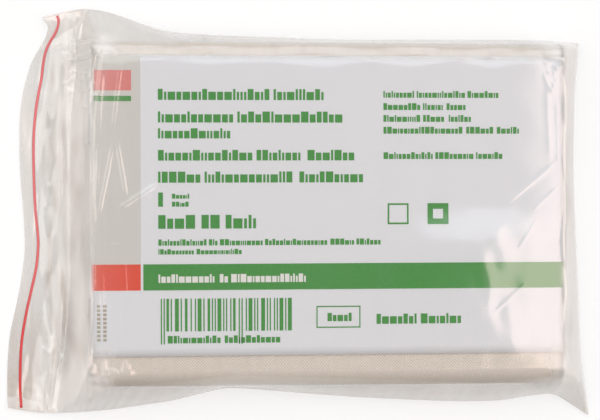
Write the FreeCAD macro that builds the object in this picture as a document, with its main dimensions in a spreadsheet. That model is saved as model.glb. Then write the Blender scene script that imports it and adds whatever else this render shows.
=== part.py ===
import FreeCAD, Part
import math
import os
import Sketcher

# A triangular bandage (arm sling), folded to a flat parcel and packed with a
# printed card in a small press-seal bag of clear film.
# Frame: +X runs along the bag from its mouth (-X) to its closed end (+X), +Y runs
# across it, +Z is up.  The origin is the middle of the underside, on which the
# pack lies.  All sizes are in millimetres.

DIMENSIONS = (
    # the bag, as it lies around its contents
    ("bag_length", 134.0),
    ("bag_width", 92.0),
    ("film", 0.1),
    ("side_weld", 1.2),
    ("end_weld", 1.5),
    ("weld_height", 0.3),
    # the folded cloth
    ("cloth_length", 114.0),
    ("cloth_width", 80.0),
    ("cloth_height", 13.8),
    ("cloth_round", 6.0),
    ("cloth_side", 0.8),
    # how far the cloth and the card lie from the bag's middle, along it
    ("contents_centre", 3.2),
    # the printed card on top of it
    ("card_length", 112.0),
    ("card_width", 68.0),
    ("card_thickness", 0.3),
    ("card_side", 2.3),
    # loose fit between one layer and the next
    ("play", 0.2),
    # the front film is a low tent: a flat roof with sides that slope to the welds
    ("tent_skin", 0.12),
    ("tent_open", 4.0),
    ("roof_front", -53.9),
    ("roof_rear", 60.2),
    ("roof_half", 39.4),
    ("foot_front", -55.0),
    # the front wall of the mouth slopes down to a lip that lies over the rear film
    ("mouth_gap", 0.25),
    ("lip_gap", 1.2),
    ("lip_inset", 0.2),
    # the press seal: a channel with hooks, and a rib with a barbed head
    ("seal_place", -56.8),
    ("seal_strip", 2.8),
    ("seal_base", 0.15),
    ("seal_wall", 0.25),
    ("seal_channel", 1.0),
    ("seal_hook", 0.2),
    ("seal_height", 0.95),
    ("rib_stem", 0.3),
    ("rib_head", 0.7),
    ("rib_barb", 0.25),
    # the coloured line that shows where to pull the lips apart
    ("line_place", -63.2),
    ("line_width", 1.0),
    ("line_height", 0.06),
)

# Formulas that several pieces share, as expressions over the sheet.
MOUTH_EDGE = "(-Sizes.bag_length / 2)"
CLOSED_END = "(Sizes.bag_length / 2 - Sizes.end_weld)"
BETWEEN_WELDS = "(Sizes.bag_width - 2 * Sizes.side_weld)"
CLOTH_FOOT = "(Sizes.film + Sizes.play)"
CARD_FOOT = f"({CLOTH_FOOT} + Sizes.cloth_height + Sizes.play)"
ROOF = f"({CARD_FOOT} + Sizes.card_thickness + Sizes.play + Sizes.film)"
LIP_FOOT = "(Sizes.film + Sizes.lip_gap)"
LIP_TOP = f"({LIP_FOOT} + Sizes.film)"
LIP_WIDTH = f"({BETWEEN_WELDS} - 2 * Sizes.lip_inset)"

document = FreeCAD.newDocument("sling_pack")


def fill_sheet():
    """Put each driving dimension in a row of its own, with its name beside it."""
    sheet = document.addObject("Spreadsheet::Sheet", "Sizes")
    for row, (name, value) in enumerate(DIMENSIONS, start=1):
        sheet.set(f"A{row}", name)
        sheet.set(f"B{row}", str(value))
        sheet.setAlias(f"B{row}", name)
    document.recompute()


def bind(item, formulas):
    """Tie properties of an object to formulas over the sheet."""
    for name, formula in formulas.items():
        item.setExpression(name, formula)


def box(name, x, y, z, length, width, height):
    """A block, from its low corner and its three sides."""
    block = document.addObject("Part::Box", name)
    bind(block, {
        "Length": length,
        "Width": width,
        "Height": height,
        "Placement.Base.x": x,
        "Placement.Base.y": y,
        "Placement.Base.z": z,
    })
    return block


def strip(name, middle, foot, length, width, height, side="0"):
    """A block that is centred on the place middle along X, and on side along Y."""
    low_x = f"{middle} - {length} / 2"
    low_y = f"{side} - {width} / 2"
    return box(name, low_x, low_y, foot, length, width, height)


def fused(name, pieces):
    """One solid from blocks that meet."""
    whole = document.addObject("Part::MultiFuse", name)
    whole.Shapes = pieces
    whole.Refine = True
    return whole


def tent(name, foot, foot_half, foot_height, roof, roof_half, roof_height):
    """A block with sloping sides: a rectangle at the foot and a smaller one on top.

    foot and roof hold the places of the front and rear edges, along X.  The wedge
    tapers along its own Y, which is turned upright.
    """
    wedge = document.addObject("Part::Wedge", name)
    upright = FreeCAD.Rotation(FreeCAD.Vector(1, 0, 0), 90)
    wedge.Placement = FreeCAD.Placement(FreeCAD.Vector(0, 0, 0), upright)
    bind(wedge, {
        "Xmin": foot[0],
        "Xmax": foot[1],
        "Zmin": f"-({foot_half})",
        "Zmax": foot_half,
        "Ymin": foot_height,
        "Ymax": roof_height,
        "X2min": roof[0],
        "X2max": roof[1],
        "Z2min": f"-({roof_half})",
        "Z2max": roof_half,
    })
    return wedge


def origin_plane(body, role):
    """The plane of the body's own origin that has this role."""
    for feature in body.Origin.OriginFeatures:
        if feature.Role == role:
            return feature
    raise ValueError(role)


def outline(body, name, role, *loops):
    """A sketch of closed polygons, with a pair of formulas for each corner.

    The lines are drawn round a circle first, and their constraints then put
    every corner in its place.
    """
    sketch = body.newObject("Sketcher::SketchObject", name)
    sketch.AttachmentSupport = (origin_plane(body, role), "")
    sketch.MapMode = "FlatFace"
    for loop in loops:
        first = sketch.GeometryCount
        count = len(loop)
        turns = [2 * math.pi * step / count for step in range(count + 1)]
        ring = [FreeCAD.Vector(math.cos(turn), math.sin(turn), 0) for turn in turns]
        for start, finish in zip(ring, ring[1:]):
            sketch.addGeometry(Part.LineSegment(start, finish), False)
        for step in range(count):
            here = first + step
            following = first + (step + 1) % count
            sketch.addConstraint(Sketcher.Constraint("Coincident", here, 2, following, 1))
        for step, corner in enumerate(loop):
            for kind, formula in zip(("DistanceX", "DistanceY"), corner):
                tie = Sketcher.Constraint(kind, -1, 1, first + step, 1, 1.0)
                index = sketch.addConstraint(tie)
                sketch.setExpression(f"Constraints[{index}]", formula)
    return sketch


def pad(body, name, profile, length, both_ways=False):
    """Raise a profile to a length, to one side of its plane or half to each."""
    feature = body.newObject("PartDesign::Pad", name)
    feature.Profile = profile
    feature.SideType = "Symmetric" if both_ways else "One side"
    feature.setExpression("Length", length)
    return feature


def rear_film():
    """The rear panel: flat film that the pack lies on."""
    return box(
        "RearFilm",
        MOUTH_EDGE,
        f"-{BETWEEN_WELDS} / 2",
        "0",
        f"{CLOSED_END} - {MOUTH_EDGE}",
        BETWEEN_WELDS,
        "Sizes.film",
    )


def side_weld(name, low_edge):
    """The bead where the two panels are melted together along one side."""
    return box(
        name,
        MOUTH_EDGE,
        low_edge,
        "0",
        "Sizes.bag_length",
        "Sizes.side_weld",
        "Sizes.weld_height",
    )


def end_weld():
    """The flat weld across the closed end, between the side welds."""
    return box(
        "EndWeld",
        CLOSED_END,
        f"-{BETWEEN_WELDS} / 2",
        "0",
        "Sizes.end_weld",
        BETWEEN_WELDS,
        "Sizes.weld_height",
    )


def front_film():
    """The front panel over the contents: a thin tent, open below and at the mouth."""
    outside = tent(
        "FrontFilmOutside",
        ("Sizes.foot_front", CLOSED_END),
        f"{BETWEEN_WELDS} / 2",
        "Sizes.film",
        ("Sizes.roof_front", "Sizes.roof_rear"),
        "Sizes.roof_half",
        ROOF,
    )
    inside = tent(
        "FrontFilmInside",
        ("Sizes.foot_front - Sizes.tent_open", f"{CLOSED_END} - Sizes.tent_skin"),
        f"{BETWEEN_WELDS} / 2 - Sizes.tent_skin",
        "Sizes.film",
        ("Sizes.roof_front - Sizes.tent_open", "Sizes.roof_rear - Sizes.tent_skin"),
        "Sizes.roof_half - Sizes.tent_skin",
        f"{ROOF} - Sizes.film",
    )
    shell = document.addObject("Part::Cut", "FrontFilm")
    shell.Base = outside
    shell.Tool = inside
    return shell


def front_mouth_film():
    """The front panel at the mouth: a sloping wall, then the lip beyond the seal.

    The wall is trimmed to the slope of the tent's sides.
    """
    body = document.addObject("PartDesign::Body", "FrontMouthFilm")
    wall_top = "Sizes.roof_front - Sizes.mouth_gap"
    wall_foot = "Sizes.foot_front - Sizes.mouth_gap"
    section = outline(
        body, "MouthSection", "XZ_Plane",
        (
            (wall_top, ROOF),
            (wall_foot, LIP_FOOT),
            (MOUTH_EDGE, LIP_FOOT),
            (MOUTH_EDGE, LIP_TOP),
            (f"{wall_foot} - Sizes.film", LIP_TOP),
            (f"{wall_top} - Sizes.film", ROOF),
        ),
    )
    pad(body, "MouthSheet", section, LIP_WIDTH, both_ways=True)
    above = f"{ROOF} + Sizes.film"
    trims = []
    for side in ("", "-"):
        trims.append((
            (f"{side}{LIP_WIDTH} / 2", LIP_TOP),
            (f"{side}Sizes.roof_half", above),
            (f"{side}Sizes.bag_width / 2", above),
            (f"{side}Sizes.bag_width / 2", LIP_TOP),
        ))
    trim = body.newObject("PartDesign::Pocket", "MouthTrim")
    trim.Profile = outline(body, "MouthTrimOutline", "YZ_Plane", *trims)
    trim.Type = "ThroughAll"
    trim.SideType = "Symmetric"
    return body


def seal_groove():
    """The seal's channel, on the rear film: a base, two walls and two hooks."""
    hook_foot = "Sizes.film + Sizes.seal_height - Sizes.seal_hook"
    pieces = [strip(
        "GrooveBase", "Sizes.seal_place", "Sizes.film",
        "Sizes.seal_strip", BETWEEN_WELDS, "Sizes.seal_base",
    )]
    for name, sign in (("Front", "-"), ("Rear", "+")):
        wall_middle = f"Sizes.seal_place {sign} (Sizes.seal_channel + Sizes.seal_wall) / 2"
        hook_middle = f"Sizes.seal_place {sign} (Sizes.seal_channel - Sizes.seal_hook) / 2"
        pieces.append(strip(
            f"GrooveWall{name}", wall_middle, "Sizes.film",
            "Sizes.seal_wall", BETWEEN_WELDS, "Sizes.seal_height",
        ))
        pieces.append(strip(
            f"GrooveHook{name}", hook_middle, hook_foot,
            "Sizes.seal_hook", BETWEEN_WELDS, "Sizes.seal_hook",
        ))
    return fused("SealGroove", pieces)


def seal_rib():
    """The seal's rib, under the lip: a base, a stem and a barbed head."""
    head_foot = "(Sizes.film + Sizes.seal_base + Sizes.film)"
    base = strip(
        "RibBase", "Sizes.seal_place", f"{LIP_FOOT} - Sizes.seal_base",
        "Sizes.seal_strip", LIP_WIDTH, "Sizes.seal_base",
    )
    stem = strip(
        "RibStem", "Sizes.seal_place", head_foot,
        "Sizes.rib_stem", LIP_WIDTH, f"{LIP_FOOT} - {head_foot}",
    )
    head = strip(
        "RibHead", "Sizes.seal_place", head_foot,
        "Sizes.rib_head", LIP_WIDTH, "Sizes.rib_barb",
    )
    return fused("SealRib", [base, stem, head])


def opening_line():
    """The coloured line on the lip, parallel with the seal."""
    return strip(
        "OpeningLine", "Sizes.line_place", LIP_TOP,
        "Sizes.line_width", LIP_WIDTH, "Sizes.line_height",
    )


def insert_card():
    """The printed card, flat on the folded cloth."""
    return strip(
        "InsertCard", "Sizes.contents_centre", CARD_FOOT,
        "Sizes.card_length", "Sizes.card_width", "Sizes.card_thickness",
        side="Sizes.card_side",
    )


def sling_cloth():
    """The folded cloth: a block of many plies, round where the folds turn."""
    body = document.addObject("PartDesign::Body", "SlingCloth")
    body.setExpression("Placement.Base.z", CLOTH_FOOT)
    front = "Sizes.contents_centre - Sizes.cloth_length / 2"
    rear = "Sizes.contents_centre + Sizes.cloth_length / 2"
    near = "Sizes.cloth_side - Sizes.cloth_width / 2"
    far = "Sizes.cloth_side + Sizes.cloth_width / 2"
    plan = outline(
        body, "ClothPlan", "XY_Plane",
        ((front, near), (rear, near), (rear, far), (front, far)),
    )
    block = pad(body, "ClothBlock", plan, "Sizes.cloth_height")
    document.recompute()
    rounds = body.newObject("PartDesign::Fillet", "ClothRounds")
    rounds.Base = (block, ["Face1"])
    rounds.UseAllEdges = True
    rounds.setExpression("Radius", "Sizes.cloth_round")
    return body


def build():
    """Make every piece, under the name that its file gets."""
    fill_sheet()
    far_edge = "Sizes.bag_width / 2 - Sizes.side_weld"
    pieces = {
        "rear_film": rear_film(),
        "front_film": front_film(),
        "front_mouth_film": front_mouth_film(),
        "seal_groove": seal_groove(),
        "seal_rib": seal_rib(),
        "opening_line": opening_line(),
        "side_weld_far": side_weld("SideWeldFar", far_edge),
        "side_weld_near": side_weld("SideWeldNear", "-Sizes.bag_width / 2"),
        "end_weld": end_weld(),
        "insert_card": insert_card(),
        "sling_cloth": sling_cloth(),
    }
    for label, piece in pieces.items():
        piece.Label = label
    document.recompute()
    return pieces


def check(pieces):
    """Stop if any object failed, or any piece isn't one valid solid."""
    for item in document.Objects:
        if "Invalid" in item.State or "Error" in item.State:
            raise RuntimeError(f"{item.Name} did not build: {item.State}")
    for label, piece in pieces.items():
        shape = piece.Shape
        if shape.isNull() or not shape.isValid() or len(shape.Solids) != 1:
            raise RuntimeError(f"{label} is not one valid solid")


def export(pieces):
    """Write each piece to a file of its own."""
    os.makedirs("parts", exist_ok=True)
    for label, piece in pieces.items():
        piece.Shape.exportStep(f"parts/{label}.step")
        bounds = piece.Shape.BoundBox
        print(
            f"{label:17} volume {piece.Shape.Volume:10.2f}"
            f"  x {bounds.XMin:7.2f} {bounds.XMax:7.2f}"
            f"  y {bounds.YMin:7.2f} {bounds.YMax:7.2f}"
            f"  z {bounds.ZMin:6.2f} {bounds.ZMax:6.2f}"
        )


made = build()
check(made)
export(made)
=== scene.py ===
import math

import bmesh
import bpy
import numpy as np
from mathutils import Matrix, Vector


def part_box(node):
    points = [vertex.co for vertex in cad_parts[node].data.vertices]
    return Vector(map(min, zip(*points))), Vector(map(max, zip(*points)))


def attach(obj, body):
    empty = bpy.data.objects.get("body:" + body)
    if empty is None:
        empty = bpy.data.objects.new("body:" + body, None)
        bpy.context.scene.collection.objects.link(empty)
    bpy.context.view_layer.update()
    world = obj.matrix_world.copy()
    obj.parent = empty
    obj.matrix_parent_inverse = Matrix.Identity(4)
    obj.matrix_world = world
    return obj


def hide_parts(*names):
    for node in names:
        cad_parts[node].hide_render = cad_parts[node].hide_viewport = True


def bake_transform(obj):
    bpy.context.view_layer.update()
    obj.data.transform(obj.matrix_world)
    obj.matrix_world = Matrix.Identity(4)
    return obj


# A triangular bandage folded to a flat parcel, with its printed card on top, in a clear press-seal bag.
# Everything is worked out in millimetres, X along the bag from mouth to closed end, and turned to
# metres where a mesh is made. "Near" is the -Y side of the bag and "far" is the +Y side.

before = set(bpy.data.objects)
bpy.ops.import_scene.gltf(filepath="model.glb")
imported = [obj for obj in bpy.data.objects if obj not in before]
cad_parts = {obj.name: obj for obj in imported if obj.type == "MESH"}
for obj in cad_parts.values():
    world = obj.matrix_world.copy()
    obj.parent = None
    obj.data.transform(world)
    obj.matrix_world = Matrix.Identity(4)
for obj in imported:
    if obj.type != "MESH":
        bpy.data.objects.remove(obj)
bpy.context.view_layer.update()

MM = 0.001


# ---------------- sizes from the frame

def corners(node):
    """Lowest and highest corner of a CAD node, in millimetres."""
    low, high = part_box(node)
    return np.array(low) / MM, np.array(high) / MM


bag_low = corners("side_weld_near")[0]
bag_high = corners("side_weld_far")[1]
cloth_low, cloth_high = corners("sling_cloth")
card_low, card_high = corners("insert_card")
seal_low, seal_high = corners("seal_rib")
line_low, line_high = corners("opening_line")

MOUTH_X, END_X = bag_low[0], bag_high[0]
NEAR_Y, FAR_Y = bag_low[1], bag_high[1]
SEAL_X = (seal_low[0] + seal_high[0]) / 2
LINE_X = (line_low[0] + line_high[0]) / 2
HINGE_X = corners("front_mouth_film")[1][0]
CARD_LENGTH, CARD_WIDTH = card_high[0] - card_low[0], card_high[1] - card_low[1]
CLOTH_THICKNESS = cloth_high[2] - cloth_low[2]

# Sides of the folded parcel, and how far in from them its top starts to turn down.
near_side = cloth_low[1] + 0.1
far_side = cloth_high[1] - 1.1
mouth_side = cloth_low[0] + 0.5
end_side = cloth_high[0] - 0.6
NEAR_FOLD = 3.8
FAR_FOLD = 1.4

# The bandage: a right-angled triangle of cotton, its long side down. Its strips lie along that side
# and its columns across it.
BASE = 1360.0
HEIGHT = BASE / 2
COLUMNS = 12
COLUMN = BASE / COLUMNS
STRIP = 80.0
STRIPS = math.ceil(HEIGHT / STRIP)

# The card bows this much either way, and being stiffer it follows only a share of the cloth's sag.
CARD_BOW = 0.05
CARD_FOLLOWS = 0.75
# How far the tight film lies above the card's face.
FILM_LIFT = 0.18
# One unit of a flat material's place, in millimetres.
FLAT_UNIT = 100.0


# ---------------- small tools

def curve_through(points):
    """A smooth curve through points (place, value), level beyond both ends."""
    place, value = np.array(points, float).T
    slope = np.gradient(value, place)

    def at(x):
        x = np.clip(x, place[0], place[-1])
        i = np.clip(np.searchsorted(place, x) - 1, 0, len(place) - 2)
        step = place[i + 1] - place[i]
        t = (x - place[i]) / step
        start = (2 * t**3 - 3 * t**2 + 1) * value[i] + (t**3 - 2 * t**2 + t) * step * slope[i]
        stop = (3 * t**2 - 2 * t**3) * value[i + 1] + (t**3 - t**2) * step * slope[i + 1]
        return start + stop

    return at


def ramp(value, start, stop):
    """0 before start and 1 after stop, turning smoothly between them."""
    t = np.clip((value - start) / (stop - start), 0, 1)
    return t * t * (3 - 2 * t)


def between(ends, share):
    """The value at that share of the way from the first end to the second."""
    return ends[0] + (ends[1] - ends[0]) * share


def rise(distance, reach, power):
    """How a taut film climbs from a weld: steep at the foot, level after reach."""
    return 1 - (1 - np.clip(distance / reach, 0, 1)) ** power


def either_top(a, b, blend):
    """The higher of two surfaces, rounded where they meet."""
    return (a + b + np.sqrt((a - b) ** 2 + blend**2)) / 2


def ripple(x, y, length, seed, stretch=1.0):
    """Uneven ripples of about that wavelength, mostly between -1 and 1. Stretch draws them out along Y."""
    dice = np.random.RandomState(seed)
    total = np.zeros(np.broadcast(x, y).shape)
    waves = 9
    for _ in range(waves):
        angle = dice.uniform(0, math.pi)
        wave = 2 * math.pi / (length * dice.uniform(0.7, 1.5))
        phase = dice.uniform(0, 2 * math.pi)
        total += np.sin(wave * (x * math.cos(angle) + y * math.sin(angle) / stretch) + phase)
    return total / math.sqrt(2 * waves)


def spread(*runs):
    """Places along a line: each run is (start, stop, steps), and the next starts where it stops."""
    places = [runs[0][0]]
    for start, stop, steps in runs:
        places.extend(np.linspace(start, stop, steps + 1)[1:])
    return np.array(places)


# ---------------- mesh makers

def put_in_scene(name, data):
    """A new object in the scene."""
    made = bpy.data.objects.new(name, data)
    bpy.context.scene.collection.objects.link(made)
    return made


def piece(name, points, faces, material, flat=None, smooth=True):
    """A mesh object from points in millimetres. Flat gives each point's place on the flat material."""
    mesh = bpy.data.meshes.new(name)
    mesh.from_pydata((np.asarray(points, float) * MM).tolist(), [], faces)
    mesh.polygons.foreach_set("use_smooth", [smooth] * len(mesh.polygons))
    if flat is not None:
        layer = mesh.uv_layers.new(name="flat")
        corner_points = np.zeros(len(mesh.loops), int)
        mesh.loops.foreach_get("vertex_index", corner_points)
        layer.data.foreach_set("uv", (np.asarray(flat, float)[corner_points] / FLAT_UNIT).ravel())
    mesh.materials.append(material)
    mesh.update()
    return put_in_scene(name, mesh)


def grid_faces(rows, columns):
    """Four-sided faces between the points of a rows by columns grid."""
    index = np.arange(rows * columns).reshape(rows, columns)
    quads = np.stack([index[:-1, :-1], index[1:, :-1], index[1:, 1:], index[:-1, 1:]], -1)
    return quads.reshape(-1, 4).tolist()


def sheet_piece(name, x, y, z, material):
    """A thin sheet of film through grids of x, y and z. Its place on the flat film is its plan. Each
    point carries how milky the film is there, and how much painted shade darkens its haze."""
    points = np.stack([x, y, z], -1).reshape(-1, 3)
    made = piece(name, points, grid_faces(*x.shape), material, points[:, :2])
    for trait, share in (("milk", milkiness(x, y)), ("grey", painted_pleat_shade(x, y))):
        layer = made.data.attributes.new(trait, "FLOAT", "POINT")
        layer.data.foreach_set("value", share.astype(np.float32).ravel())
    return made


def bead_piece(name, path, profile, material, closed):
    """A bead: a profile of (across, up) carried along a path. A closed one is capped at both ends, and
    an open one is a single surface."""
    along = np.gradient(path[:, :2], axis=0)
    along /= np.linalg.norm(along, axis=1)[:, None]
    across = np.stack([-along[:, 1], along[:, 0], np.zeros(len(path))], -1)
    ring = np.array(profile, float)
    count = len(ring)
    sides = count if closed else count - 1
    points = path[:, None] + across[:, None] * ring[None, :, :1]
    points[:, :, 2] += ring[:, 1]
    faces = []
    for i in range(len(path) - 1):
        for j in range(sides):
            k = (j + 1) % count
            faces.append((i * count + j, i * count + k, (i + 1) * count + k, (i + 1) * count + j))
    if closed:
        last = (len(path) - 1) * count
        faces.append(tuple(range(count - 1, -1, -1)))
        faces.append(tuple(range(last, last + count)))
    points = points.reshape(-1, 3)
    return piece(name, points, faces, material, points[:, :2])


# ---------------- materials

def srgb(code):
    """The linear colour of an sRGB hex value such as #d8d5ce."""
    parts = [int(code[i:i + 2], 16) / 255 for i in (1, 3, 5)]
    return [p / 12.92 if p <= 0.04045 else ((p + 0.055) / 1.055) ** 2.4 for p in parts] + [1.0]


def add(tree, kind, inputs=None, **settings):
    """One node: its settings, and for each input a value, a socket, or a node that feeds it."""
    node = tree.nodes.new("ShaderNode" + kind)
    for key, value in settings.items():
        setattr(node, key, value)
    for key, value in (inputs or {}).items():
        if isinstance(value, bpy.types.Node):
            value = value.outputs[0]
        if isinstance(value, bpy.types.NodeSocket):
            tree.links.new(value, node.inputs[key])
        else:
            node.inputs[key].default_value = value
    return node


def blank(name):
    """A new material and its empty node tree."""
    made = bpy.data.materials.new(name)
    made.use_nodes = True
    made.node_tree.nodes.clear()
    return made, made.node_tree


def scale_for(size):
    """The pattern scale that makes its features about that many millimetres wide."""
    return FLAT_UNIT / size


def flat_place(tree, stretch=(1, 1, 1)):
    """Where a point is on the flat sheet. A stretch below 1 draws a pattern out along that axis."""
    place = add(tree, "UVMap", uv_map="flat")
    return add(tree, "Mapping", {"Vector": place, "Scale": stretch})


def polythene_film(name, clear, gloss, roughness, lay, haze=None):
    """Blown LDPE film: see-through, nearly colourless and wet-looking. Slack film is milkier. Its haze
    carries painted shade, darker and warmer, in the hollows of its pleats and on the lip's near corner.
    Haze is one share for all of the film, or None where each point carries its own. Gloss is the share
    mirrored face on: 0.085 for the two faces of a film, less where a piece is melted on to it. Lay
    stretches the crinkle."""
    made, tree = blank(name)
    facing = add(tree, "LayerWeight", {"Blend": 0.5}).outputs["Facing"]
    steep = add(tree, "Math", {0: facing, 1: 5.0}, operation="POWER")
    # Schlick's rule
    mirror = add(tree, "Math", {0: steep, 1: 10 * gloss, 2: gloss}, operation="MULTIPLY_ADD")
    crinkle = add(tree, "TexNoise", {"Vector": flat_place(tree, lay), "Scale": scale_for(1.82),
                                     "Detail": 3.0})
    bump = add(tree, "Bump", {"Height": crinkle, "Strength": 0.25, "Distance": 0.03 * MM})
    cloud = add(tree, "TexNoise", {"Vector": flat_place(tree, (1, 0.3, 1)), "Scale": scale_for(11.1),
                                   "Detail": 4.0})
    patchy = add(tree, "MapRange", {"Value": cloud, "From Min": 0.3, "From Max": 0.75,
                                    "To Min": 0.7, "To Max": 1.4})
    if haze is None:
        haze = add(tree, "Attribute", attribute_name="milk").outputs["Fac"]
    milk = add(tree, "Math", {0: haze, 1: patchy}, operation="MULTIPLY")
    # painted shade: where the grey attribute is high the haze turns darker and warmer
    grey = add(tree, "Attribute", attribute_name="grey").outputs["Fac"]
    tone = add(tree, "Mix", {"Factor": grey, "A": srgb("#fbf7f3"), "B": srgb("#c4b2a2")}, data_type="RGBA")
    through = add(tree, "BsdfTransparent", {"Color": srgb(clear)})
    # haze sends most of its light back and some of it on
    back = add(tree, "BsdfDiffuse", {"Color": tone.outputs["Result"], "Normal": bump})
    on = add(tree, "BsdfTranslucent", {"Color": tone.outputs["Result"], "Normal": bump})
    white = add(tree, "MixShader", {0: 0.07, 1: back, 2: on})
    shine = add(tree, "BsdfAnisotropic", {"Color": srgb("#ffffff"), "Roughness": roughness, "Normal": bump})
    body = add(tree, "MixShader", {0: milk, 1: through, 2: white})
    coat = add(tree, "MixShader", {0: mirror, 1: body, 2: shine})
    add(tree, "OutputMaterial", {"Surface": coat})
    return made


def coloured_polythene(name, colour, highlight_colour, roughness):
    """Coloured LDPE run on to the film: waxy, softly glossy and a little uneven in tone, and painted
    paler towards the far side as a painted highlight."""
    made, tree = blank(name)
    cloud = add(tree, "TexNoise", {"Vector": flat_place(tree, (1, 0.15, 1)), "Scale": scale_for(3.33)})
    tone = add(tree, "MapRange", {"Value": cloud, "To Min": 0.88, "To Max": 1.1})
    place = add(tree, "SeparateXYZ", {"Vector": flat_place(tree)})
    # painted highlight: the colour turns paler towards the far side
    thin = add(tree, "MapRange", {"Value": place.outputs["Y"], "From Min": -28 / FLAT_UNIT,
                                  "From Max": -5 / FLAT_UNIT})
    laid = add(tree, "Mix", {"Factor": thin, "A": srgb(colour), "B": srgb(highlight_colour)}, data_type="RGBA")
    tint = add(tree, "Mix", {"Factor": 1.0, "A": laid.outputs["Result"], "B": tone},
               data_type="RGBA", blend_type="MULTIPLY")
    shader = add(tree, "BsdfPrincipled", {"Base Color": tint.outputs["Result"], "Roughness": roughness,
                                          "IOR": 1.51})
    add(tree, "OutputMaterial", {"Surface": shader})
    return made


def coated_paper(name, colour, roughness, mottle):
    """White-lined card or the offset ink on it: smooth, with a faint mottle and a trace of fibres, both
    coarser than in real paper so that they show. Mottle is how far the tone wanders."""
    made, tree = blank(name)
    cloud = add(tree, "TexNoise", {"Vector": flat_place(tree), "Scale": scale_for(0.714), "Detail": 4.0})
    tone = add(tree, "MapRange", {"Value": cloud, "From Min": 0.3, "From Max": 0.7,
                                  "To Min": 1 - mottle, "To Max": 1 + mottle / 2})
    tint = add(tree, "Mix", {"Factor": 1.0, "A": srgb(colour), "B": tone},
               data_type="RGBA", blend_type="MULTIPLY")
    fibre = add(tree, "TexNoise", {"Vector": flat_place(tree), "Scale": scale_for(0.385), "Detail": 2.0})
    bump = add(tree, "Bump", {"Height": fibre, "Strength": 0.1, "Distance": 0.05 * MM})
    shader = add(tree, "BsdfPrincipled", {"Base Color": tint.outputs["Result"], "Roughness": roughness,
                                          "IOR": 1.45, "Specular IOR Level": 0.3,
                                          "Normal": bump})
    add(tree, "OutputMaterial", {"Surface": shader})
    return made


def woven_cotton(name, light, shade):
    """Unbleached plain-weave cotton: matt and warm. A half wave each way is one thread, and a slub is a
    thicker stretch of thread."""
    made, tree = blank(name)
    thread = 0.35
    place = add(tree, "SeparateXYZ", {"Vector": flat_place(tree)})
    waves = []
    for axis in ("X", "Y"):
        angle = add(tree, "Math", {0: place.outputs[axis], 1: math.pi * scale_for(thread)},
                    operation="MULTIPLY")
        waves.append(add(tree, "Math", {0: angle}, operation="SINE"))
    crossing = add(tree, "Math", {0: waves[0], 1: waves[1]}, operation="MULTIPLY")
    slub = add(tree, "TexNoise", {"Vector": flat_place(tree, (1, 0.08, 1)), "Scale": scale_for(1.67),
                                  "Detail": 2.0})
    weave = add(tree, "Math", {0: slub, 1: 0.6, 2: crossing}, operation="MULTIPLY_ADD")
    tone = add(tree, "MapRange", {"Value": weave, "From Min": -0.9, "From Max": 0.6})
    tint = add(tree, "Mix", {"Factor": tone, "A": srgb(shade), "B": srgb(light)}, data_type="RGBA")
    bump = add(tree, "Bump", {"Height": weave, "Strength": 0.6, "Distance": 0.1 * MM})
    shader = add(tree, "BsdfPrincipled", {"Base Color": tint.outputs["Result"], "Roughness": 0.85,
                                          "Specular IOR Level": 0.2, "Sheen Weight": 0.15,
                                          "Sheen Roughness": 0.5, "Normal": bump})
    add(tree, "OutputMaterial", {"Surface": shader})
    return made


FILM = polythene_film("blown_ldpe_film", clear="#f6f5f4", gloss=0.085, roughness=0.15, lay=(1, 0.5, 1))
WELD = polythene_film("melted_ldpe_weld", clear="#fdfcfc", gloss=0.02, roughness=0.2, lay=(1, 1, 1),
                      haze=0.3)
RAIL = polythene_film("extruded_ldpe_rail", clear="#fcfcfd", gloss=0.03, roughness=0.12, lay=(1, 0.1, 1),
                      haze=0.92)
RED_LINE = coloured_polythene("red_ldpe_line", "#dc3336", highlight_colour="#ea7377", roughness=0.3)
CARD_STOCK = coated_paper("white_coated_card", "#edeff4", roughness=0.5, mottle=0.015)
GREEN_INK = coated_paper("green_offset_ink", "#33982c", roughness=0.4, mottle=0.12)
RED_INK = coated_paper("red_offset_ink", "#ee4412", roughness=0.4, mottle=0.06)
TINT_INK = coated_paper("sage_tint_ink", "#dbdad5", roughness=0.45, mottle=0.02)
PALE_INK = coated_paper("worn_brown_ink", "#b5ad9c", roughness=0.5, mottle=0.1)
PAPER_WHITE = coated_paper("bare_card_white", "#f2f1ee", roughness=0.5, mottle=0.015)
PINK_INK = coated_paper("pale_red_ink", "#e9827c", roughness=0.45, mottle=0.08)
COTTON = woven_cotton("plain_weave_cotton", light="#f5ede3", shade="#d4c6b7")


# ---------------- outline of the bag as it lies

# How far each edge of the bag lies inside the straight line of the CAD bag (place along it, inset).
near_inset = curve_through([(-69, 2.4), (-61, 1.2), (-55, 1.2), (-44, 2.0), (-37.5, 2.9), (-31, 3.9),
                            (-25, 5.4), (-20, 6.5), (-15, 6.5), (-9, 6.0), (0, 5.2), (13, 4.2),
                            (27, 3.4), (40, 3.0), (48, 3.3), (55, 4.3), (60, 4.4), (65, 1.9), (69, -0.6)])
far_inset = curve_through([(-61, 1.0), (-55, -0.4), (-51, -0.9), (-48, -0.6), (-45, 0.1), (-38, 2.6),
                           (-33, 4.0), (-24, 4.8), (-8, 5.3), (7, 5.7), (23, 5.6), (42, 5.5),
                           (56, 5.5), (67, 6.0)])
mouth_inset = curve_through([(-44, -2.0), (-32, -1.9), (-27, -1.4), (-20, 0.1), (-13.5, 1.3), (-8, 1.95),
                             (0, 1.7), (10, 0.9), (17, 0.7), (23, 0.9), (30, 2.0), (36, 4.1),
                             (39, 5.9), (41.4, 7.2), (42.8, 7.4), (45, 5.7)])
end_inset = curve_through([(-46.7, -2.3), (-41, -1.6), (-35, -0.7), (-28, -0.2), (-17, 0.2), (-9, 0.7),
                           (1, 1.5), (10, 1.7), (19, 1.7), (25, 1.6), (34, 0.9), (40, 0.2)])
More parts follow.
